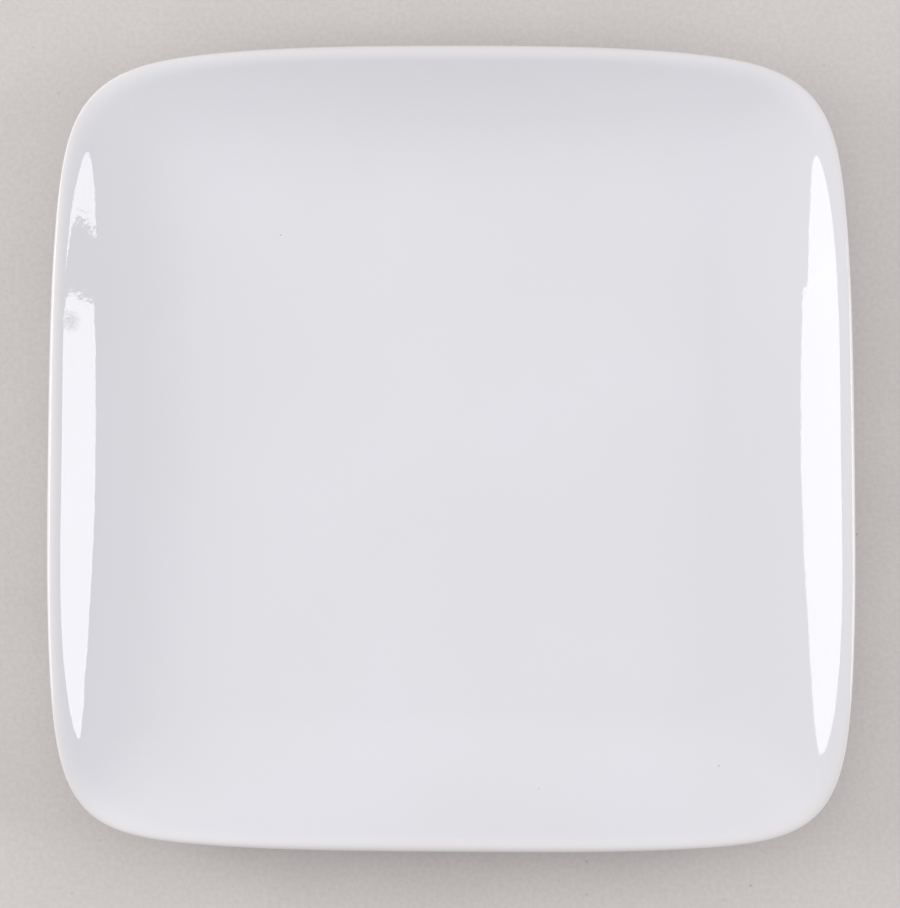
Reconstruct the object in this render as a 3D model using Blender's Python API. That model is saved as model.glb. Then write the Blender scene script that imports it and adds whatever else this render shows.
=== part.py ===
"""Square coupe plate: a fired clay body with a foot ring, and the two coats of glaze on it."""

import math

import bmesh
import bpy

# Outline and rim, measured over the glaze
PLATE_WIDTH = 0.265
OUTLINE_POWER = 8.1
CORNER_FALL = 0.085
FALL_SHARPNESS = 1.2

# Wall, from the oval lip, tilted up in degrees, to the flat well, whose corners are squarer
LIP_THICKNESS = 0.0052
LIP_LENGTH = 0.0042
CORNER_ROLL = 0.0032
CORNER_DRAW = 0.005
ROLL_SHARPNESS = 3.5
LIP_TILT = 40.5
WELL_THICKNESS = 0.0056
RISE_WIDTH = 0.042
CONTOUR_POWER = 16.0

# Foot ring under the well
FOOT_SETBACK = 0.006
FOOT_WIDTH = 0.006
FOOT_HEIGHT = 0.004
FOOT_FILLET = 0.0015
FOOT_ROUND = 0.0008
BARE_FOOT = 0.0012

# Glaze coats and their clearance from the clay
GLAZE = 0.0004
BOND_GAP = 0.0003

# Steps of the mesh
SEGMENTS = 72
CORNER_CROWDING = 0.5
RISE_STEPS = 7
LIP_STEPS = 8
FILLET_STEPS = 2

# Sizes that follow from the ones above
CLAY = GLAZE + BOND_GAP
LIP_HALF = LIP_THICKNESS / 2
SIDE_TILT = math.radians(LIP_TILT)
RIM_HALF = PLATE_WIDTH / 2 - math.hypot(LIP_LENGTH * math.cos(SIDE_TILT), LIP_HALF * math.sin(SIDE_TILT))
WELL_HALF = RIM_HALF - RISE_WIDTH
FOOT_HALF = WELL_HALF - FOOT_SETBACK
WELL_MIDDLE = FOOT_HEIGHT + WELL_THICKNESS / 2
SIDE_RISE = RISE_WIDTH * math.tan(SIDE_TILT) / 2


def reach(angle, power):
    """Distance from the axis to a rounded square one unit in half width."""
    return (abs(math.cos(angle)) ** power + abs(math.sin(angle)) ** power) ** (-1 / power)


def corner(angle, sharpness):
    """Nearness to a corner, 0 at the middle of a side and 1 on the diagonal."""
    return ((1 - math.cos(4 * angle)) / 2) ** sharpness


def rise(angle):
    """Climb of the wall's middle over one rise width, least towards the corners."""
    return SIDE_RISE * (1 - CORNER_FALL * corner(angle, FALL_SHARPNESS))


def roll(angle):
    """How much longer the lip is than at the middle of a side; it rolls over more gently at the corners."""
    return CORNER_ROLL * corner(angle, ROLL_SHARPNESS)


def middle(angle, inward):
    """Radius, height and tilt of the wall's middle, where inward is 0 at the lip and 1 at the well."""
    contour = reach(angle, CONTOUR_POWER)
    rim = RIM_HALF * reach(angle, OUTLINE_POWER) - CORNER_DRAW * corner(angle, ROLL_SHARPNESS)
    radius = rim + (WELL_HALF * contour - rim) * inward
    share = max(radius / contour - WELL_HALF, 0.0) / RISE_WIDTH
    height = WELL_MIDDLE + rise(angle) * share ** 2
    return radius, height, math.atan(2 * rise(angle) * share / (RISE_WIDTH * contour))


def wall(inward, side, depth):
    """Station on the upper side (1) or underside (-1) of the wall, a depth below its surface."""
    def at(angle):
        radius, height, tilt = middle(angle, inward)
        half = (LIP_THICKNESS + (WELL_THICKNESS - LIP_THICKNESS) * inward) / 2 - depth
        return radius - side * half * math.sin(tilt), height + side * half * math.cos(tilt)
    return at


def lip(around, depth):
    """Station on the oval lip, from its upper side (0) to its underside (1)."""
    def at(angle):
        radius, height, tilt = middle(angle, 0.0)
        out = (LIP_LENGTH + roll(angle) - depth) * math.sin(math.pi * around)
        over = (LIP_HALF - depth) * math.cos(math.pi * around)
        radius += out * math.cos(tilt) - over * math.sin(tilt)
        return radius, height + out * math.sin(tilt) + over * math.cos(tilt)
    return at


def foot(outward, height):
    """Station on the foot ring, measured outward from the glazed outer face of the ring."""
    def at(angle):
        return FOOT_HALF * reach(angle, OUTLINE_POWER) + outward, height
    return at


def steps(count):
    """Even shares from 0 to 1."""
    return [index / count for index in range(count + 1)]


def upper_stations(depth):
    """Stations over the front and the lip, and under the rim to the fillet of the foot ring."""
    front = [wall(1 - share, 1, depth) for share in steps(RISE_STEPS)]
    edge = [lip(share, depth) for share in steps(LIP_STEPS)[1:-1]]
    back = [wall(share, -1, depth) for share in steps(RISE_STEPS)]
    turn = []
    for share in steps(FILLET_STEPS):
        swing = share * math.pi / 2
        outward = FOOT_FILLET - (FOOT_FILLET + depth) * math.sin(swing)
        height = FOOT_HEIGHT - FOOT_FILLET + (FOOT_FILLET + depth) * math.cos(swing)
        turn.append(foot(outward, height))
    return front + edge + back + turn


def base_stations(depth):
    """Stations from the inner face of the foot ring over its fillet to the base."""
    turn = []
    for share in steps(FILLET_STEPS):
        swing = share * math.pi / 2
        outward = (FOOT_FILLET + depth) * math.cos(swing) - FOOT_FILLET - FOOT_WIDTH
        height = FOOT_HEIGHT - FOOT_FILLET + (FOOT_FILLET + depth) * math.sin(swing)
        turn.append(foot(outward, height))
    return turn


def sole_stations():
    """Stations of the bare ground face of the foot ring and its two rounded edges."""
    outer = -CLAY
    inner = CLAY - FOOT_WIDTH
    cut = FOOT_ROUND * (1 - math.sqrt(0.5))
    return [
        foot(outer, FOOT_ROUND),
        foot(outer - cut, cut),
        foot(outer - FOOT_ROUND, 0.0),
        foot(inner + FOOT_ROUND, 0.0),
        foot(inner + cut, cut),
        foot(inner, FOOT_ROUND),
    ]


def place(ring, station):
    """Moves a ring of vertices to a station, each one along its own direction from the axis."""
    for vertex in ring:
        angle = math.atan2(vertex.co.y, vertex.co.x)
        radius, height = station(angle)
        vertex.co = (radius * math.cos(angle), radius * math.sin(angle), height)


def loft(name, stations, colour, roughness, home):
    """Makes one closed body by extruding a ring from station to station and filling both ends."""
    mesh = bmesh.new()
    ring = bmesh.ops.create_circle(mesh, segments=SEGMENTS, radius=1.0)["verts"]
    for vertex in ring:
        angle = math.atan2(vertex.co.y, vertex.co.x)
        angle += CORNER_CROWDING * math.sin(4 * angle) / 4
        vertex.co = (math.cos(angle), math.sin(angle), 0.0)
    place(ring, stations[0])
    edges = list(mesh.edges)
    bmesh.ops.edgeloop_fill(mesh, edges=edges)
    for station in stations[1:]:
        grown = bmesh.ops.extrude_edge_only(mesh, edges=edges)["geom"]
        ring = [item for item in grown if isinstance(item, bmesh.types.BMVert)]
        ends = set(ring)
        edges = [item for item in grown if isinstance(item, bmesh.types.BMEdge)]
        edges = [edge for edge in edges if edge.verts[0] in ends and edge.verts[1] in ends]
        place(ring, station)
    bmesh.ops.edgeloop_fill(mesh, edges=edges)
    # Twisted faces are cut along their shorter diagonal, so clay and glaze stay parallel
    sides = [face for face in mesh.faces if len(face.verts) == 4]
    bmesh.ops.triangulate(mesh, faces=sides, quad_method="SHORT_EDGE")
    bmesh.ops.recalc_face_normals(mesh, faces=mesh.faces)
    data = bpy.data.meshes.new(name)
    mesh.to_mesh(data)
    mesh.free()
    finish = bpy.data.materials.new(name)
    finish.use_nodes = True
    shader = finish.node_tree.nodes["Principled BSDF"]
    shader.inputs["Base Color"].default_value = (*colour, 1.0)
    shader.inputs["Roughness"].default_value = roughness
    data.materials.append(finish)
    home.objects.link(bpy.data.objects.new(name, data))


for old in list(bpy.data.objects):
    bpy.data.objects.remove(old, do_unlink=True)

plate = bpy.data.collections.new("square_plate")
bpy.context.scene.collection.children.link(plate)

# The pressed clay, one piece with its foot ring
clay = upper_stations(CLAY) + sole_stations() + base_stations(CLAY)
loft("body", clay, (0.62, 0.54, 0.44), 0.85, plate)

# The coat over the front, the lip and the back as far as the bare foot
outside = upper_stations(0.0) + [foot(0.0, BARE_FOOT)]
inside = upper_stations(GLAZE) + [foot(-GLAZE, BARE_FOOT)]
loft("upper_glaze", outside + inside[::-1], (0.76, 0.75, 0.79), 0.12, plate)

# The coat on the base, inside the foot ring
outside = [foot(-FOOT_WIDTH, BARE_FOOT)] + base_stations(0.0)
inside = [foot(GLAZE - FOOT_WIDTH, BARE_FOOT)] + base_stations(GLAZE)
loft("base_glaze", outside[::-1] + inside, (0.75, 0.74, 0.77), 0.15, plate)
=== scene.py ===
import logging
import math
from collections.abc import Callable
from dataclasses import dataclass, field
from enum import Enum

import bmesh
import bpy
from mathutils import Matrix, Vector


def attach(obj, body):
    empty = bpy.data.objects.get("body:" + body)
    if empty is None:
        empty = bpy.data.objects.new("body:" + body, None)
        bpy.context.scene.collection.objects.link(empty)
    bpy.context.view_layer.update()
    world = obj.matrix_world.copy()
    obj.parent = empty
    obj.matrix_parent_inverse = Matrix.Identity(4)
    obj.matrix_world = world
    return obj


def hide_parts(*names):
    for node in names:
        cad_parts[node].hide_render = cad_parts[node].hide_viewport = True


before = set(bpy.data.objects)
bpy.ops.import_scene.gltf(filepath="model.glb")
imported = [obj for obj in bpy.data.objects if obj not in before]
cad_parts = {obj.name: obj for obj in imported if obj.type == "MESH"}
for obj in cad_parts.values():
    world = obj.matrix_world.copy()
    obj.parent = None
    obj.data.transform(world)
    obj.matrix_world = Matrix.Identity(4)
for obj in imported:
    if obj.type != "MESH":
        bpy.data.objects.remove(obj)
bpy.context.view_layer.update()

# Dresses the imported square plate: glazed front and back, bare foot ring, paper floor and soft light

LOG = logging.getLogger("square_plate")

Colour = tuple[float, float, float]
Point = tuple[float, float, float]
Band = tuple[float, float]
Station = Callable[[float], tuple[float, float]]
Rings = list[Station]
Socket = bpy.types.NodeSocket
Sockets = bpy.types.bpy_prop_collection

SIDES = 4
UNIT: Band = (0.0, 1.0)


class Side(Enum):
    """The two faces of the plate's wall."""

    FRONT = 1
    BACK = -1


class Way(Enum):
    """The two ways across the foot ring."""

    OUTWARD = 1
    INWARD = -1


def shares(count: int) -> list[float]:
    """Even shares from 0 to 1.

    Args:
        count: how many steps there are between them.

    Returns:
        One more share than there are steps.
    """
    return [index / count for index in range(count + 1)]


def reach(angle: float, power: float) -> float:
    """Distance from the axis to a rounded square one unit in half width.

    Args:
        angle: direction from the axis, in radians.
        power: how square it is, from 2 for a circle.

    Returns:
        The distance, 1 at the middle of a side and most at a corner.
    """
    return (abs(math.cos(angle)) ** power + abs(math.sin(angle)) ** power) ** (-1 / power)


@dataclass(frozen=True)
class PlateForm:
    """The plate's sizes over the glaze, in metres, and the curves that follow from them."""

    # Outline and rim
    width: float = 0.265
    outline_power: float = 8.1
    corner_fall: float = 0.085
    fall_sharpness: float = 1.2

    # Wall, from the oval lip, tilted up in degrees, to the flat well, whose corners are squarer
    lip_thickness: float = 0.0052
    lip_length: float = 0.0042
    corner_roll: float = 0.0032
    corner_draw: float = 0.005
    roll_sharpness: float = 3.5
    lip_tilt: float = 40.5
    well_thickness: float = 0.0056
    rise_width: float = 0.042
    contour_power: float = 16.0

    # Foot ring under the well
    foot_setback: float = 0.006
    foot_width: float = 0.006
    foot_height: float = 0.004
    foot_fillet: float = 0.0015
    foot_round: float = 0.0008
    bare_foot: float = 0.0012

    # Glaze and its wiped edge, whose waves each have a share, a count round the foot and a phase
    glaze: float = 0.0004
    glaze_bead: float = 0.00012
    wipe_waver: float = 0.00012
    wipe_waves: tuple[tuple[float, int, float], ...] = ((1.0, 7, 1.0), (0.6, 17, 2.0))
    edge_steps: int = 6

    # Pull of the kiln: along the diagonals, at front and back, at the front alone, and of the whole rim
    kiln_skew: float = -0.00254
    kiln_bow: float = 0.0015
    kiln_sag: float = 0.0007
    kiln_drift: float = 0.0011

    @property
    def lip_half(self) -> float:
        """Half the thickness of the lip."""
        return self.lip_thickness / 2

    @property
    def side_tilt(self) -> float:
        """Tilt of the lip at the middle of a side, in radians."""
        return math.radians(self.lip_tilt)

    @property
    def rim_half(self) -> float:
        """Half width to the middle of the wall, where the lip begins."""
        out = self.lip_length * math.cos(self.side_tilt)
        return self.width / 2 - math.hypot(out, self.lip_half * math.sin(self.side_tilt))

    @property
    def well_half(self) -> float:
        """Half width of the flat well."""
        return self.rim_half - self.rise_width

    @property
    def foot_half(self) -> float:
        """Half width of the foot ring's outer face."""
        return self.well_half - self.foot_setback

    @property
    def well_middle(self) -> float:
        """Height of the middle of the wall under the well."""
        return self.foot_height + self.well_thickness / 2

    def outline(self, angle: float) -> float:
        """How far the lip lies from the axis, 1 at the middle of a side and most at a corner."""
        return reach(angle, self.outline_power)

    def contour(self, angle: float) -> float:
        """How far the edge of the well lies from the axis; it is squarer than the lip."""
        return reach(angle, self.contour_power)

    def corner(self, angle: float, sharpness: float) -> float:
        """How near a direction is to a corner.

        Args:
            angle: direction from the axis, in radians.
            sharpness: how closely the rise keeps to the corner.

        Returns:
            0 at the middle of a side and 1 on the diagonal.
        """
        return ((1 - math.cos(SIDES * angle)) / 2) ** sharpness

    def climb(self, angle: float) -> float:
        """Climb of the wall's middle from the well, one rise width out along a contour.

        Args:
            angle: direction from the axis, in radians.

        Returns:
            The climb in metres, least at the corners.
        """
        side_climb = self.rise_width * math.tan(self.side_tilt) / 2
        return side_climb * (1 - self.corner_fall * self.corner(angle, self.fall_sharpness))

    def roll(self, angle: float) -> float:
        """How much longer the lip is than at the middle of a side, so that it rolls over more gently."""
        return self.corner_roll * self.corner(angle, self.roll_sharpness)

    def middle(self, angle: float, inward: float) -> tuple[float, float, float]:
        """A point on the middle of the curved wall.

        Args:
            angle: direction from the axis, in radians.
            inward: 0 at the lip and 1 at the well.

        Returns:
            The point's radius and height, and the wall's tilt from level in radians.
        """
        contour = self.contour(angle)
        drawn_in = self.corner_draw * self.corner(angle, self.roll_sharpness)
        rim = self.rim_half * self.outline(angle) - drawn_in
        radius = rim + (self.well_half * contour - rim) * inward
        share = max(radius / contour - self.well_half, 0.0) / self.rise_width
        height = self.well_middle + self.climb(angle) * share ** 2
        return radius, height, math.atan(2 * self.climb(angle) * share / (self.rise_width * contour))

    def wall(self, inward: float, side: Side, depth: float) -> Station:
        """A ring on the curved wall.

        Args:
            inward: 0 at the lip and 1 at the well.
            side: the front or the back of the wall.
            depth: distance below the glazed surface.

        Returns:
            The ring, as a function from direction to radius and height.
        """
        def at(angle: float) -> tuple[float, float]:
            """Radius and height in one direction."""
            radius, height, tilt = self.middle(angle, inward)
            thickness = self.lip_thickness + (self.well_thickness - self.lip_thickness) * inward
            half = (thickness / 2 - depth) * side.value
            return radius - half * math.sin(tilt), height + half * math.cos(tilt)
        return at

    def lip(self, around: float, depth: float) -> Station:
        """A ring on the oval lip.

        Args:
            around: 0 at the front of the wall and 1 at its back.
            depth: distance below the glazed surface.

        Returns:
            The ring, as a function from direction to radius and height.
        """
        over = (self.lip_half - depth) * math.cos(math.pi * around)

        def at(angle: float) -> tuple[float, float]:
            """Radius and height in one direction."""
            radius, height, tilt = self.middle(angle, 0.0)
            out = (self.lip_length + self.roll(angle) - depth) * math.sin(math.pi * around)
            radius += out * math.cos(tilt) - over * math.sin(tilt)
            return radius, height + out * math.sin(tilt) + over * math.cos(tilt)
        return at

    def well(self, share: float, depth: float) -> Station:
        """A ring on the flat of the well.

        Args:
            share: the ring's size, from 0 at the middle to 1 at the edge of the well.
            depth: distance below the glazed surface.

        Returns:
            The ring, as a function from direction to radius and height.
        """
        def at(angle: float) -> tuple[float, float]:
            """Radius and height in one direction."""
            roundness = 1 + (self.contour(angle) - 1) * share
            return self.well_half * share * roundness, self.foot_height + self.well_thickness - depth
        return at

    def foot(self, outward: float, height: float) -> Station:
        """A ring on the foot, measured outward from the glazed outer face of the foot ring.

        Args:
            outward: distance outward from that face.
            height: height over the table.

        Returns:
            The ring, as a function from direction to radius and height.
        """
        def at(angle: float) -> tuple[float, float]:
            """Radius and height in one direction."""
            return self.foot_half * self.outline(angle) + outward, height
        return at

    def base(self, share: float, depth: float) -> Station:
        """A ring on the base, inside the foot ring.

        Args:
            share: the ring's size, from 0 at the middle to 1 at the fillet of the foot ring.
            depth: distance below the glazed surface.

        Returns:
            The ring, as a function from direction to radius and height.
        """
        def at(angle: float) -> tuple[float, float]:
            """Radius and height in one direction."""
            edge = self.foot_half * self.outline(angle) - self.foot_width - self.foot_fillet
            even = self.foot_half - self.foot_width - self.foot_fillet
            return share * (even + (edge - even) * share), self.foot_height + depth
        return at

    def outer_fillet(self, count: int, depth: float) -> Rings:
        """Rings of the hollow between the back of the plate and the foot ring.

        Args:
            count: steps around the hollow.
            depth: distance below the glazed surface.

        Returns:
            The rings, from the back of the plate down to the foot.
        """
        radius = self.foot_fillet + depth
        rings = []
        for share in shares(count):
            swing = share * math.pi / 2
            outward = self.foot_fillet - radius * math.sin(swing)
            rings.append(self.foot(outward, self.foot_height - self.foot_fillet + radius * math.cos(swing)))
        return rings

    def inner_fillet(self, count: int, depth: float) -> Rings:
        """Rings of the hollow between the foot ring and the base.

        Args:
            count: steps around the hollow.
            depth: distance below the glazed surface.

        Returns:
            The rings, from the foot up to the base.
        """
        radius = self.foot_fillet + depth
        rings = []
        for share in shares(count)[:-1]:
            swing = share * math.pi / 2
            outward = radius * math.cos(swing) - self.foot_fillet - self.foot_width
            rings.append(self.foot(outward, self.foot_height - self.foot_fillet + radius * math.sin(swing)))
        return rings

    def glaze_edge(self, face: float, clay: Way) -> Rings:
        """Rings of the rolled edge where the glaze was wiped off the foot.

        Args:
            face: where the glazed face is, outward from the outer face of the foot ring.
            clay: which way the clay lies from that face.

        Returns:
            The rings, from the glazed face round to the clay.
        """
        def edge(across: float, drop: float) -> Station:
            """One ring of the edge, wavering as a wiped line does."""
            def at(angle: float) -> tuple[float, float]:
                """Radius and height in one direction."""
                waves = self.wipe_waves
                waver = sum(share * math.sin(count * angle + phase) for share, count, phase in waves)
                height = self.bare_foot + self.wipe_waver * waver - drop
                return self.foot_half * self.outline(angle) + face + clay.value * across, height
            return at
        half = self.glaze / 2
        rings = [edge(0.0, -self.glaze - half), edge(-self.glaze_bead, -half)]
        for share in shares(self.edge_steps):
            swing = share * math.pi
            across = half - (half + self.glaze_bead * (1 - share)) * math.cos(swing)
            rings.append(edge(across, half * math.sin(swing)))
        return rings


@dataclass
class Loft:
    """A closed body grown from a ring of vertices, station by station."""

    form: PlateForm
    segments: int = 288
    crowding: float = 0.5
    mesh: bmesh.types.BMesh = field(default_factory=bmesh.new)

    def place(self, ring: list[bmesh.types.BMVert], station: Station) -> None:
        """Moves each vertex of a ring along its own direction from the axis.

        Args:
            ring: the vertices.
            station: the radius and height for each direction.
        """
        for vertex in ring:
            angle = math.atan2(vertex.co.y, vertex.co.x)
            radius, height = station(angle)
            vertex.co = (radius * math.cos(angle), radius * math.sin(angle), height)

    def grow(self, stations: Rings) -> None:
        """Extrudes a ring through the stations and closes both ends.

        Args:
            stations: the rings of the body, from one end to the other.
        """
        mesh = self.mesh
        ring = bmesh.ops.create_circle(mesh, segments=self.segments, radius=1.0)["verts"]
        for vertex in ring:
            angle = math.atan2(vertex.co.y, vertex.co.x)
            angle += self.crowding * math.sin(SIDES * angle) / SIDES
            vertex.co = (math.cos(angle), math.sin(angle), 0.0)
        self.place(ring, stations[0])
        edges = list(mesh.edges)
        bmesh.ops.edgeloop_fill(mesh, edges=edges)
        for station in stations[1:]:
            grown = bmesh.ops.extrude_edge_only(mesh, edges=edges)["geom"]
            ring = [item for item in grown if isinstance(item, bmesh.types.BMVert)]
            ends = set(ring)
            edges = [item for item in grown if isinstance(item, bmesh.types.BMEdge)]
            edges = [edge for edge in edges if edge.verts[0] in ends and edge.verts[1] in ends]
            self.place(ring, station)
        bmesh.ops.edgeloop_fill(mesh, edges=edges)

    def warp(self) -> None:
        """Pulls the plate out of true, as firing does: along its diagonals, at two sides and all its rim."""
        lean = self.form.kiln_skew
        half = self.form.width / 2
        matrix = Matrix(((1, lean, 0, 0), (lean, 1, 0, 0), (0, 0, 1, 0), (0, 0, 0, 1)))
        bmesh.ops.transform(self.mesh, matrix=matrix, verts=self.mesh.verts)
        for vertex in self.mesh.verts:
            across, along = vertex.co.x / half, vertex.co.y / half
            inside = 1 - across ** 2
            bow = self.form.kiln_bow * inside
            sag = self.form.kiln_sag * inside ** 2 if along < 0 else 0.0
            drift = self.form.kiln_drift * math.hypot(across ** 2, along ** 2)
            vertex.co.y += (bow - sag) * along ** 2 - drift

    def make(self, name: str) -> bpy.types.Object:
        """Turns the body into an object.

        Args:
            name: the piece's name.

        Returns:
            The new object, shaded smooth, at the origin.
        """
        bmesh.ops.recalc_face_normals(self.mesh, faces=self.mesh.faces)
        for face in self.mesh.faces:
            face.smooth = True
        data = bpy.data.meshes.new(name)
        self.mesh.to_mesh(data)
        self.mesh.free()
        piece = bpy.data.objects.new(name, data)
        bpy.context.scene.collection.objects.link(piece)
        return piece


class Nodes:
    """Adds nodes to a tree and joins them in one call each."""

    def __init__(self, tree: bpy.types.NodeTree) -> None:
        """Keeps the tree.

        Args:
            tree: the node tree of a material, a world or a group.
        """
        self.tree = tree

    def add(self, kind: str, settings: dict | None = None, **sockets: object) -> bpy.types.Node:
        """Adds a node.

        Args:
            kind: the node's Blender type.
            settings: properties of the node itself.
            sockets: inputs by name, with _ for a space; an output is joined, a value is set.

        Returns:
            The node.
        """
        node = self.tree.nodes.new(kind)
        for key, value in (settings or {}).items():
            setattr(node, key, value)
        for key, value in sockets.items():
            self.feed(node.inputs[key.replace("_", " ")], value)
        return node

    def feed(self, socket: Socket, value: object) -> None:
        """Joins an output to an input, or sets the input's own value.

        Args:
            socket: the input.
            value: an output socket, a number or a colour.
        """
        if isinstance(value, Socket):
            self.tree.links.new(value, socket)
        else:
            socket.default_value = value

    def maths(self, operation: str, first: object, second: object = 0.0) -> Socket:
        """Adds a sum, a product or another step of arithmetic.

        Args:
            operation: the Math node's operation.
            first: an output or a number.
            second: an output or a number.

        Returns:
            The result.
        """
        node = self.tree.nodes.new("ShaderNodeMath")
        node.operation = operation
        self.feed(node.inputs[0], first)
        self.feed(node.inputs[1], second)
        return node.outputs[0]

    def spread(self, value: object, ends: Band, into: Band) -> Socket:
        """Maps a value smoothly from one range into another.

        Args:
            value: an output.
            ends: the range it is read over.
            into: the range it is given.

        Returns:
            The result.
        """
        node = self.tree.nodes.new("ShaderNodeMapRange")
        node.interpolation_type = "SMOOTHSTEP"
        limits = {"From Min": ends[0], "From Max": ends[1], "To Min": into[0], "To Max": into[1]}
        for name, limit in limits.items():
            node.inputs[name].default_value = limit
        self.feed(node.inputs["Value"], value)
        return node.outputs["Result"]

    def tint(self, share: object, low: object, high: object) -> Socket:
        """Mixes two colours.

        Args:
            share: 0 for the first colour and 1 for the second.
            low: the first colour.
            high: the second colour.

        Returns:
            The mixed colour.
        """
        node = self.tree.nodes.new("ShaderNodeMix")
        node.data_type = "RGBA"
        self.feed(node.inputs["Factor"], share)
        self.feed(node.inputs["A"], low)
        self.feed(node.inputs["B"], high)
        return node.outputs["Result"]


def opaque(colour: Colour) -> tuple[float, float, float, float]:
    """Adds a full alpha to a colour."""
    return (*colour, 1.0)


class Effect:
    """A node group that several finishes share."""

    def __init__(self, name: str, inputs: dict[str, float], outputs: list[str]) -> None:
        """Makes the group and its sockets.

        Args:
            name: the group's name.
            inputs: its number inputs and their first values.
            outputs: its number outputs.
        """
        self.tree = bpy.data.node_groups.new(name, "ShaderNodeTree")
        sockets = self.tree.interface
        sockets.new_socket("Vector", in_out="INPUT", socket_type="NodeSocketVector")
        for key, value in inputs.items():
            socket = sockets.new_socket(key, in_out="INPUT", socket_type="NodeSocketFloat")
            socket.default_value = value
        for key in outputs:
            sockets.new_socket(key, in_out="OUTPUT", socket_type="NodeSocketFloat")
        self.nodes = Nodes(self.tree)
        self.into = self.tree.nodes.new("NodeGroupInput").outputs
        self.out = self.tree.nodes.new("NodeGroupOutput").inputs

    def use(self, nodes: Nodes, vector: Socket, **values: object) -> Sockets:
        """Places the group in a finish.

        Args:
            nodes: the finish's nodes.
            vector: the coordinates to read.
            values: inputs by name, with _ for a space.

        Returns:
            The group's outputs.
        """
        node = nodes.tree.nodes.new("ShaderNodeGroup")
        node.node_tree = self.tree
        nodes.feed(node.inputs["Vector"], vector)
        for key, value in values.items():
            nodes.feed(node.inputs[key.replace("_", " ")], value)
        return node.outputs


def make_flow() -> Effect:
    """Slow waves with a finer ripple on them, as in fired glaze.

    Returns:
        The effect, with a Height from 0 to 1.
    """
    effect = Effect("glaze_flow", {"Waves": 30.0, "Ripples": 160.0, "Ripple Share": 0.25}, ["Height"])
    nodes, into = effect.nodes, effect.into
    smooth = 1.0
    waves = nodes.add("ShaderNodeTexNoise", Vector=into["Vector"], Scale=into["Waves"], Detail=smooth)
    ripples = nodes.add("ShaderNodeTexNoise", Vector=into["Vector"], Scale=into["Ripples"], Detail=smooth)
    fine = nodes.maths("MULTIPLY", ripples.outputs["Fac"], into["Ripple Share"])
    nodes.feed(effect.out["Height"], nodes.maths("ADD", waves.outputs["Fac"], fine))
    return effect


def make_specks() -> Effect:
    """Round specks scattered one to a cell, in a share of the cells.

    Returns:
        The effect, with a Mask that is 1 on a speck.
    """
    effect = Effect("scattered_specks", {"Cells": 60.0, "Radius": 0.03, "Share": 0.05}, ["Mask"])
    nodes, into = effect.nodes, effect.into
    flat = {"voronoi_dimensions": "2D"}
    least_size = 0.5
    soft_edge = (0.6, 1.0)
    cells = nodes.add("ShaderNodeTexVoronoi", flat, Vector=into["Vector"], Scale=into["Cells"])
    pick = nodes.add("ShaderNodeSeparateColor", Color=cells.outputs["Color"])
    chosen = nodes.maths("LESS_THAN", pick.outputs["Red"], into["Share"])
    radius = nodes.maths("MULTIPLY", into["Radius"], nodes.maths("ADD", pick.outputs["Green"], least_size))
    near = nodes.maths("DIVIDE", cells.outputs["Distance"], radius)
    mask = nodes.maths("MULTIPLY", nodes.spread(near, soft_edge, UNIT[::-1]), chosen)
    nodes.feed(effect.out["Mask"], mask)
    return effect


def make_grain() -> Effect:
    """Cloudy tone and fine grit, as in fired clay and in paper.

    Returns:
        The effect, with a Tone and a Grit from 0 to 1.
    """
    effect = Effect("cloud_and_grit", {"Clouds": 12.0, "Grit": 900.0}, ["Tone", "Grit"])
    nodes, into = effect.nodes, effect.into
    cloud_detail, grit_detail = 3.0, 2.0
    cloud_ends = (0.3, 0.7)
    clouds = nodes.add("ShaderNodeTexNoise", Vector=into["Vector"], Scale=into["Clouds"], Detail=cloud_detail)
    grit = nodes.add("ShaderNodeTexNoise", Vector=into["Vector"], Scale=into["Grit"], Detail=grit_detail)
    nodes.feed(effect.out["Tone"], nodes.spread(clouds.outputs["Fac"], cloud_ends, UNIT))
    nodes.feed(effect.out["Grit"], grit.outputs["Fac"])
    return effect


@dataclass
class Effects:
    """The effects that the finishes share, each built once."""

    flow: Effect = field(default_factory=make_flow)
    specks: Effect = field(default_factory=make_specks)
    grain: Effect = field(default_factory=make_grain)


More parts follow.
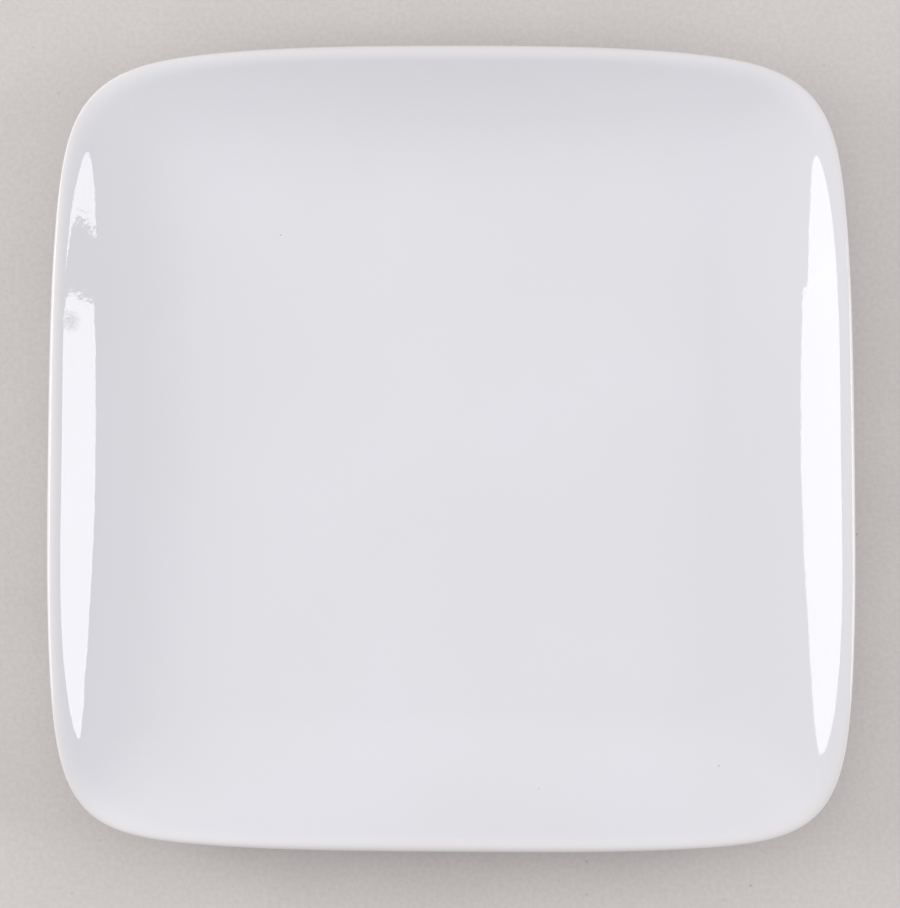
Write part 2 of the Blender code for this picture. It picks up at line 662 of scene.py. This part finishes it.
@dataclass(frozen=True, kw_only=True)
class Finish:
    """What the finishes share: clouds of two tones, fine grit, scattered specks and a bumped surface."""

    name: str
    colour: Colour
    shade: Colour
    speck_colour: Colour
    clouds: float
    grit: float
    speck_cells: float
    speck_radius: float
    speck_share: float
    depth: float

    def begin(self) -> tuple[bpy.types.Material, Nodes, Socket]:
        """Makes the material.

        Returns:
            The material, its nodes and the piece's own coordinates.
        """
        finish = bpy.data.materials.new(self.name)
        finish.use_nodes = True
        nodes = Nodes(finish.node_tree)
        return finish, nodes, nodes.add("ShaderNodeTexCoord").outputs["Object"]

    def grain(self, effects: Effects, nodes: Nodes, place: Socket) -> Sockets:
        """Places the clouds and the grit.

        Args:
            effects: the shared effects.
            nodes: the finish's nodes.
            place: the piece's own coordinates.

        Returns:
            The Tone of the clouds and the Grit.
        """
        return effects.grain.use(nodes, place, Clouds=self.clouds, Grit=self.grit)

    def specks(self, effects: Effects, nodes: Nodes, place: Socket) -> Socket:
        """Places the specks.

        Args:
            effects: the shared effects.
            nodes: the finish's nodes.
            place: the piece's own coordinates.

        Returns:
            Their mask.
        """
        sizes = {"Cells": self.speck_cells, "Radius": self.speck_radius, "Share": self.speck_share}
        return effects.specks.use(nodes, place, **sizes)["Mask"]

    def tone(self, nodes: Nodes, grain: Sockets) -> Socket:
        """Mixes the two tones by the clouds."""
        return nodes.tint(grain["Tone"], opaque(self.colour), opaque(self.shade))

    def end(self, nodes: Nodes, tone: Socket, height: Socket) -> bpy.types.Node:
        """Feeds the colour and the bumps into the material's own shader.

        Args:
            nodes: the finish's nodes.
            tone: the colour.
            height: the bumps, in shares of their depth.

        Returns:
            The shader.
        """
        bump = nodes.add("ShaderNodeBump", Strength=1.0, Distance=self.depth, Height=height)
        shader = nodes.tree.nodes["Principled BSDF"]
        nodes.feed(shader.inputs["Base Color"], tone)
        nodes.feed(shader.inputs["Normal"], bump.outputs["Normal"])
        return shader


@dataclass(frozen=True, kw_only=True)
class GlazeFinish(Finish):
    """Gloss white glaze, a little cool and warmer over the lip, with faint flow, specks and a pitted spot."""

    name: str = "white_glaze"
    colour: Colour = (0.775, 0.768, 0.810)
    shade: Colour = (0.765, 0.755, 0.790)
    speck_colour: Colour = (0.54, 0.54, 0.50)
    clouds: float = 14.0
    grit: float = 1180.0
    speck_cells: float = 34.0
    speck_radius: float = 0.014
    speck_share: float = 0.07
    depth: float = 0.00010
    roughness: Band = (0.015, 0.03)
    ior: float = 1.58
    waves: float = 26.0
    ripples: float = 420.0
    ripple_share: float = 0.10

    # Thin glaze over the lip, from the half width of the plate
    lip_half: float
    lip_power: float = 7.0
    lip_band: Band = (0.968, 0.992)
    lip_colour: Colour = (0.778, 0.748, 0.760)

    # The pitted spot, where the grit is raised and sunk about its mean
    pit_place: Point = (-0.1258, 0.0407, 0.0249)
    pit_reach: Band = (0.0008, 0.0044)
    pit_depth: float = 0.00022
    grit_mean: float = 0.5

    def pitting(self, nodes: Nodes, place: Socket, grit: Socket) -> Socket:
        """Small pits in one patch of the glaze by the lip.

        Args:
            nodes: the finish's nodes.
            place: the plate's own coordinates.
            grit: the fine noise that shapes the pits.

        Returns:
            Their height, in shares of the flow's depth.
        """
        away = nodes.add("ShaderNodeVectorMath", {"operation": "DISTANCE"})
        nodes.feed(away.inputs[0], place)
        nodes.feed(away.inputs[1], self.pit_place)
        depth = nodes.spread(away.outputs["Value"], self.pit_reach, (self.pit_depth / self.depth, 0.0))
        return nodes.maths("MULTIPLY", nodes.maths("SUBTRACT", grit, self.grit_mean), depth)

    def lip_mask(self, nodes: Nodes, place: Socket) -> Socket:
        """How near a point is to the lip, where the glaze runs thin.

        Args:
            nodes: the finish's nodes.
            place: the plate's own coordinates.

        Returns:
            The mask, 1 at the lip.
        """
        way = nodes.add("ShaderNodeSeparateXYZ", Vector=place).outputs
        total = 0.0
        for axis in "XY":
            share = nodes.maths("DIVIDE", nodes.maths("ABSOLUTE", way[axis]), self.lip_half)
            total = nodes.maths("ADD", nodes.maths("POWER", share, self.lip_power), total)
        return nodes.spread(nodes.maths("POWER", total, 1 / self.lip_power), self.lip_band, UNIT)

    def make(self, effects: Effects) -> bpy.types.Material:
        """Builds the material.

        Args:
            effects: the shared effects.

        Returns:
            The material, with its own Principled shader.
        """
        finish, nodes, place = self.begin()
        grain = self.grain(effects, nodes, place)
        sizes = {"Waves": self.waves, "Ripples": self.ripples, "Ripple Share": self.ripple_share}
        flow = effects.flow.use(nodes, place, **sizes)["Height"]
        height = nodes.maths("ADD", flow, self.pitting(nodes, place, grain["Grit"]))
        tone = nodes.tint(self.lip_mask(nodes, place), self.tone(nodes, grain), opaque(self.lip_colour))
        tone = nodes.tint(self.specks(effects, nodes, place), tone, opaque(self.speck_colour))
        shader = self.end(nodes, tone, height)
        nodes.feed(shader.inputs["Roughness"], nodes.spread(grain["Tone"], UNIT, self.roughness))
        shader.inputs["IOR"].default_value = self.ior
        return finish


@dataclass(frozen=True, kw_only=True)
class ClayFinish(Finish):
    """Bare fired clay, dry and gritty, with darker grains in it."""

    name: str = "bare_clay"
    colour: Colour = (0.62, 0.54, 0.44)
    shade: Colour = (0.50, 0.42, 0.33)
    speck_colour: Colour = (0.20, 0.15, 0.11)
    clouds: float = 70.0
    grit: float = 2200.0
    speck_cells: float = 700.0
    speck_radius: float = 0.22
    speck_share: float = 0.12
    depth: float = 0.00012
    roughness: float = 0.85

    def make(self, effects: Effects) -> bpy.types.Material:
        """Builds the material.

        Args:
            effects: the shared effects.

        Returns:
            The material, with its own Principled shader.
        """
        finish, nodes, place = self.begin()
        grain = self.grain(effects, nodes, place)
        speck = self.specks(effects, nodes, place)
        tone = nodes.tint(speck, self.tone(nodes, grain), opaque(self.speck_colour))
        shader = self.end(nodes, tone, grain["Grit"])
        shader.inputs["Roughness"].default_value = self.roughness
        return finish


@dataclass(frozen=True, kw_only=True)
class PaperFinish(Finish):
    """Pale warm grey paper with a fine tooth, mottled and a little flecked."""

    name: str = "floor_paper"
    colour: Colour = (0.672, 0.636, 0.621)
    shade: Colour = (0.650, 0.615, 0.601)
    speck_colour: Colour = (0.50, 0.47, 0.455)
    clouds: float = 22.0
    grit: float = 620.0
    speck_cells: float = 110.0
    speck_radius: float = 0.045
    speck_share: float = 0.07
    depth: float = 0.00006
    roughness: float = 0.92
    mottle_ends: Band = (0.32, 0.68)
    mottle_share: Band = (0.0, 0.22)

    def make(self, effects: Effects) -> bpy.types.Material:
        """Builds the material.

        Args:
            effects: the shared effects.

        Returns:
            The material, with its own Principled shader.
        """
        finish, nodes, place = self.begin()
        grain = self.grain(effects, nodes, place)
        mottle = nodes.spread(grain["Grit"], self.mottle_ends, self.mottle_share)
        marks = nodes.maths("MAXIMUM", self.specks(effects, nodes, place), mottle)
        tone = nodes.tint(marks, self.tone(nodes, grain), opaque(self.speck_colour))
        shader = self.end(nodes, tone, grain["Grit"])
        shader.inputs["Roughness"].default_value = self.roughness
        return finish


@dataclass(frozen=True)
class Steps:
    """How many steps a piece takes over each part of the plate."""

    well: int
    rise: int
    lip: int
    fillet: int


@dataclass
class PlatePiece:
    """What the three pieces of the plate share: their form and how they join the frame."""

    form: PlateForm

    def outside(self, steps: Steps, depth: float) -> Rings:
        """Rings from the middle of the well over the lip and along the back to the foot ring.

        Args:
            steps: how finely each part is stepped.
            depth: distance below the glazed surface.

        Returns:
            The rings in order.
        """
        form = self.form
        rings = [form.well(share, depth) for share in shares(steps.well)[1:-1]]
        rings += [form.wall(1 - share, Side.FRONT, depth) for share in shares(steps.rise)]
        rings += [form.lip(share, depth) for share in shares(steps.lip)[1:-1]]
        rings += [form.wall(share, Side.BACK, depth) for share in shares(steps.rise)]
        return rings + form.outer_fillet(steps.fillet, depth)

    def finish_piece(
        self, stations: Rings, name: str, node: str, finish: bpy.types.Material
    ) -> bpy.types.Object:
        """Lofts a piece, dresses it and puts it in the place of its CAD node.

        Args:
            stations: the rings of the piece.
            name: the piece's name.
            node: the CAD node it stands for.
            finish: its material.

        Returns:
            The piece, riding on the plate's one body.
        """
        loft = Loft(self.form)
        loft.grow(stations)
        loft.warp()
        piece = loft.make(name)
        piece.data.materials.append(finish)
        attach(piece, "root")
        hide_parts(node)
        return piece


@dataclass
class GlazedFront(PlatePiece):
    """The glaze coat over the front, the lip and the back as far as the bare foot."""

    steps: Steps = Steps(well=14, rise=44, lip=18, fillet=6)

    def build(self, finish: bpy.types.Material) -> bpy.types.Object:
        """Builds and dresses the coat.

        Args:
            finish: the glaze.

        Returns:
            The piece.
        """
        rings = self.outside(self.steps, 0.0) + self.form.glaze_edge(0.0, Way.INWARD)
        rings += self.outside(self.steps, self.form.glaze)[::-1]
        return self.finish_piece(rings, "glazed_front", "upper_glaze", finish)


@dataclass
class GlazedBase(PlatePiece):
    """The glaze coat on the base, inside the foot ring."""

    base_steps: int = 10
    fillet_steps: int = 6

    def surface(self, depth: float) -> Rings:
        """Stations from the middle of the base to the foot ring's inner face.

        Args:
            depth: distance below the glazed surface.

        Returns:
            The stations in order.
        """
        form = self.form
        rings = [form.base(share, depth) for share in shares(self.base_steps)[1:]]
        return rings + form.inner_fillet(self.fillet_steps, depth)[::-1]

    def build(self, finish: bpy.types.Material) -> bpy.types.Object:
        """Builds and dresses the coat.

        Args:
            finish: the glaze.

        Returns:
            The piece.
        """
        rings = self.surface(0.0) + self.form.glaze_edge(-self.form.foot_width, Way.OUTWARD)
        rings += self.surface(self.form.glaze)[::-1]
        return self.finish_piece(rings, "glazed_base", "base_glaze", finish)


@dataclass
class ClayBody(PlatePiece):
    """The fired clay under the glaze, with the bare foot that the plate stands on."""

    bond: float = 0.00003
    steps: Steps = Steps(well=4, rise=22, lip=8, fillet=4)
    round_steps: int = 5

    @property
    def depth(self) -> float:
        """How far the clay lies below the glazed surface."""
        return self.form.glaze + self.bond

    def sole(self) -> Rings:
        """Stations of the bare ground face and its two rounded edges.

        Returns:
            The stations from the outer face of the foot to its inner face.
        """
        form = self.form
        turn = form.foot_round
        rings = []
        for share in shares(self.round_steps):
            swing = share * math.pi / 2
            out = -self.depth - turn * (1 - math.cos(swing))
            rings.append(form.foot(out, turn * (1 - math.sin(swing))))
        for share in shares(self.round_steps):
            swing = share * math.pi / 2
            out = self.depth - form.foot_width + turn * (1 - math.sin(swing))
            rings.append(form.foot(out, turn * (1 - math.cos(swing))))
        return rings

    def build(self, finish: bpy.types.Material) -> bpy.types.Object:
        """Builds and dresses the body.

        Args:
            finish: the bare clay.

        Returns:
            The piece.
        """
        form, depth = self.form, self.depth
        rings = self.outside(self.steps, depth) + self.sole()
        rings += form.inner_fillet(self.steps.fillet, depth)
        rings += [form.base(share, depth) for share in shares(self.steps.well)[1:]][::-1]
        return self.finish_piece(rings, "clay_body", "body", finish)


@dataclass
class PhotoCamera:
    """A camera over the plate, a little to the front of straight above it."""

    distance: float = 0.795
    elevation: float = 85.249
    azimuth: float = 17.253
    roll: float = 17.149
    aim: Point = (-0.00002, -0.00296, 0.020)
    focal_px: float = 2401.6
    frame_px: int = 900
    sensor: float = 36.0
    nearest: float = 0.01

    def build(self) -> bpy.types.Object:
        """Places the camera and makes it the scene's own.

        Returns:
            The camera.
        """
        lens = bpy.data.cameras.new("photo_camera")
        lens.sensor_fit = "HORIZONTAL"
        lens.sensor_width = self.sensor
        lens.lens = self.focal_px * self.sensor / self.frame_px
        lens.clip_start = self.nearest
        camera = bpy.data.objects.new("photo_camera", lens)
        bpy.context.scene.collection.objects.link(camera)
        azimuth, elevation = math.radians(self.azimuth), math.radians(self.elevation)
        level = math.cos(elevation)
        back = Vector((math.sin(azimuth) * level, -math.cos(azimuth) * level, math.sin(elevation)))
        right = Vector((math.cos(azimuth), math.sin(azimuth), 0.0))
        up = back.cross(right)
        turn = math.radians(self.roll)
        across = right * math.cos(turn) - up * math.sin(turn)
        upward = right * math.sin(turn) + up * math.cos(turn)
        axes = Matrix((across, upward, back)).transposed().to_4x4()
        camera.matrix_world = Matrix.Translation(Vector(self.aim) + back * self.distance) @ axes
        bpy.context.scene.camera = camera
        return camera


WHITE_LIGHT: Colour = (1.0, 1.0, 1.0)
COOL_LIGHT: Colour = (1.0, 1.0, 1.03)


@dataclass
class Softbox:
    """A rectangular lamp that stands upright and faces the plate."""

    name: str
    centre: Point
    width: float
    height: float
    radiance: float
    colour: Colour = WHITE_LIGHT

    def build(self) -> bpy.types.Object:
        """Hangs the lamp.

        Returns:
            The lamp.
        """
        light = bpy.data.lights.new(self.name, "AREA")
        light.shape = "RECTANGLE"
        light.size = self.width
        light.size_y = self.height
        light.energy = self.radiance * math.pi * self.width * self.height
        light.color = self.colour
        lamp = bpy.data.objects.new(self.name, light)
        bpy.context.scene.collection.objects.link(lamp)
        facing = Vector((-self.centre[0], -self.centre[1], 0.0)).to_track_quat("-Z", "Y")
        lamp.matrix_world = Matrix.Translation(self.centre) @ facing.to_matrix().to_4x4()
        return lamp


@dataclass
class Sky:
    """Soft light from all round, stronger overhead, from the back and from both sides."""

    all_round: float = 0.37
    overhead: float = 0.515
    overhead_power: float = 3.0
    back: float = 0.20
    left: float = 0.31
    right: float = 0.12
    colour: Colour = WHITE_LIGHT

    def level(self, nodes: Nodes) -> Socket:
        """How bright the sky is in each direction.

        Args:
            nodes: the world's nodes.

        Returns:
            The brightness.
        """
        direction = nodes.add("ShaderNodeTexCoord").outputs["Generated"]
        way = nodes.add("ShaderNodeSeparateXYZ", Vector=direction).outputs
        high = nodes.maths("POWER", nodes.maths("MAXIMUM", way["Z"]), self.overhead_power)
        total = nodes.maths("ADD", nodes.maths("MULTIPLY", high, self.overhead), self.all_round)
        for axis, share in (("Y", self.back), ("X", self.right), ("X", -self.left)):
            lift = nodes.maths("MAXIMUM", nodes.maths("MULTIPLY", way[axis], share))
            total = nodes.maths("ADD", total, lift)
        return total

    def build(self) -> bpy.types.World:
        """Makes the world.

        Returns:
            The world, now the scene's own.
        """
        world = bpy.data.worlds.new("studio")
        world.use_nodes = True
        nodes = Nodes(world.node_tree)
        lit = world.node_tree.nodes["Background"]
        lit.inputs["Color"].default_value = opaque(self.colour)
        nodes.feed(lit.inputs["Strength"], self.level(nodes))
        bpy.context.scene.world = world
        return world


@dataclass
class Studio:
    """A pale paper floor, soft lamps at both sides and soft light from all round."""

    floor_radius: float = 4.0
    floor_segments: int = 96
    sky: Sky = field(default_factory=Sky)

    # Each lamp with its centre, width, height and radiance
    lamps: list[Softbox] = field(default_factory=lambda: [
        Softbox("left_softbox", (-0.95, 0.004, 0.5325), 0.528, 0.395, 4.05),
        Softbox("left_back_panel", (-0.95, 0.344, 0.5125), 0.152, 0.355, 4.05),
        Softbox("left_low_fill", (-0.95, 0.08, 0.2175), 0.68, 0.235, 2.15),
        Softbox("back_left_fill", (-0.76, 0.57, 0.2175), 0.50, 0.235, 1.8),
        Softbox("right_softbox", (0.95, 0.003, 0.534), 0.518, 0.388, 4.7, COOL_LIGHT),
        Softbox("right_low_fill", (0.95, 0.0, 0.22), 0.51, 0.24, 2.2),
        Softbox("right_strip", (0.95, 0.3555, 0.635), 0.059, 0.31, 4.4, COOL_LIGHT),
    ])

    def floor(self, finish: bpy.types.Material) -> bpy.types.Object:
        """Lays the paper.

        Args:
            finish: the paper.

        Returns:
            The floor.
        """
        mesh = bmesh.new()
        bmesh.ops.create_circle(mesh, cap_ends=True, segments=self.floor_segments, radius=self.floor_radius)
        data = bpy.data.meshes.new("paper_floor")
        mesh.to_mesh(data)
        mesh.free()
        data.materials.append(finish)
        sheet = bpy.data.objects.new("paper_floor", data)
        bpy.context.scene.collection.objects.link(sheet)
        return sheet

    def build(self, finish: bpy.types.Material) -> None:
        """Sets up the floor and the light.

        Args:
            finish: the floor's paper.
        """
        self.floor(finish)
        self.sky.build()
        for lamp in self.lamps:
            lamp.build()
        bpy.context.scene.view_settings.view_transform = "Standard"


def main() -> None:
    """Builds the plate, its finishes, the studio and the camera."""
    logging.basicConfig(level=logging.INFO, format="%(message)s")
    form = PlateForm()
    effects = Effects()
    glaze = GlazeFinish(lip_half=form.width / 2).make(effects)
    clay = ClayFinish().make(effects)
    pieces = [GlazedFront(form).build(glaze), GlazedBase(form).build(glaze), ClayBody(form).build(clay)]
    for piece in pieces:
        LOG.info("%s: %d faces", piece.name, len(piece.data.polygons))
    Studio().build(PaperFinish().make(effects))
    PhotoCamera().build()


if __name__ == "__main__":
    main()
